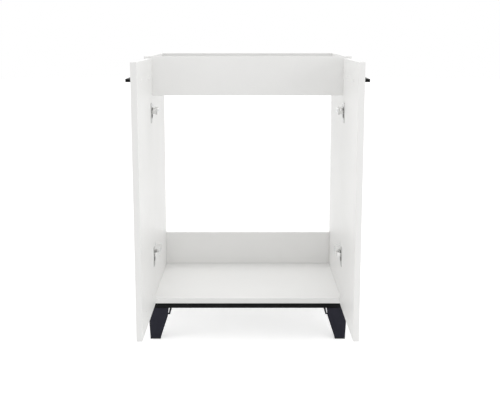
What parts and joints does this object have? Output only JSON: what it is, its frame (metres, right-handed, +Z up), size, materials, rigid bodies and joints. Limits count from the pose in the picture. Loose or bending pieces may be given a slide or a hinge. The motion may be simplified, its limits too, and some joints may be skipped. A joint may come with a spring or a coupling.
{
  "type": "sink base cabinet",
  "caption": "Open-topped sink base cabinet of white board on a black steel base with tapered legs, its doors standing open on concealed hinges.",
  "frame": {"origin": "on the floor, below the middle of the outline with both doors open at right angles", "axes": "+X across the cabinet to the right as seen from the front, +Y to the back, +Z up; the doors open towards -Y"},
  "size_m": [0.636, 0.668, 0.859],
  "materials": {
    "carcass_melamine": "white melamine-faced board, semi-matt",
    "door_melamine": "white melamine-faced board, semi-matt",
    "cap_plastic": "white plastic",
    "black_steel": "black powder coat",
    "black_plastic": "black plastic",
    "handle_black": "black powder coat",
    "zinc_steel": "zinc plate",
    "nickel_steel": "nickel plate"
  },
  "bodies": {
    "cabinet": {"side_panel_left": "carcass_melamine", "side_panel_right": "carcass_melamine", "bottom_panel": "carcass_melamine", "front_top_rail": "carcass_melamine", "rear_top_rail": "carcass_melamine", "rear_bottom_rail": "carcass_melamine", "screw_caps": "cap_plastic", "base_front_tube": "black_steel", "base_rear_tube": "black_steel", "base_side_tube_left": "black_steel", "base_side_tube_right": "black_steel", "leg_front_left": "black_steel", "leg_front_right": "black_steel", "leg_rear_left": "black_steel", "leg_rear_right": "black_steel", "leg_stays": "black_steel", "base_end_plugs": "black_plastic", "leg_glides": "black_plastic", "assembly_screws": "zinc_steel", "base_screws": "zinc_steel", "leg_bolts": "zinc_steel", "plate_screws": "zinc_steel", "arm_screws": "zinc_steel", "arm_pins": "zinc_steel", "hinge_arm_left_upper": "nickel_steel", "mounting_plate_left_upper": "nickel_steel", "hinge_arm_left_lower": "nickel_steel", "mounting_plate_left_lower": "nickel_steel", "hinge_arm_right_upper": "nickel_steel", "mounting_plate_right_upper": "nickel_steel", "hinge_arm_right_lower": "nickel_steel", "mounting_plate_right_lower": "nickel_steel"},
    "door_left": {"door_left": "door_melamine", "handle_left": "handle_black", "cup_screws_left": "zinc_steel", "handle_screws_left": "zinc_steel", "hinge_cup_left_upper": "nickel_steel", "hinge_cup_left_lower": "nickel_steel"},
    "door_right": {"door_right": "door_melamine", "handle_right": "handle_black", "cup_screws_right": "zinc_steel", "handle_screws_right": "zinc_steel", "hinge_cup_right_upper": "nickel_steel", "hinge_cup_right_lower": "nickel_steel"},
    "links_left": {"link_pins_left": "zinc_steel", "hinge_link_left_upper": "nickel_steel", "hinge_link_left_lower": "nickel_steel"},
    "links_right": {"link_pins_right": "zinc_steel", "hinge_link_right_upper": "nickel_steel", "hinge_link_right_lower": "nickel_steel"}
  },
  "joints": [
    {"name": "door_right_swing", "type": "hinge", "parent": "cabinet", "child": "door_right", "pos_m": [0.291, -0.045, 0.4865], "axis": [0, 0, 1], "range_deg": [-90, 10]},
    {"name": "door_left_swing", "type": "hinge", "parent": "cabinet", "child": "door_left", "pos_m": [-0.291, -0.045, 0.4865], "axis": [0, 0, 1], "range_deg": [-10, 90]},
    {"name": "links_right_swing", "type": "hinge", "parent": "cabinet", "child": "links_right", "pos_m": [0.264, -0.038, 0.4865], "axis": [0, 0, 1], "range_deg": [-6.5, 58.5]},
    {"name": "links_left_swing", "type": "hinge", "parent": "cabinet", "child": "links_left", "pos_m": [-0.264, -0.038, 0.4865], "axis": [0, 0, 1], "range_deg": [-58.5, 6.5]}
  ],
  "couplings": [
    {"joint": "links_right_swing", "follows": "door_right_swing", "ratio": -0.65},
    {"joint": "links_left_swing", "follows": "door_left_swing", "ratio": -0.65}
  ]
}
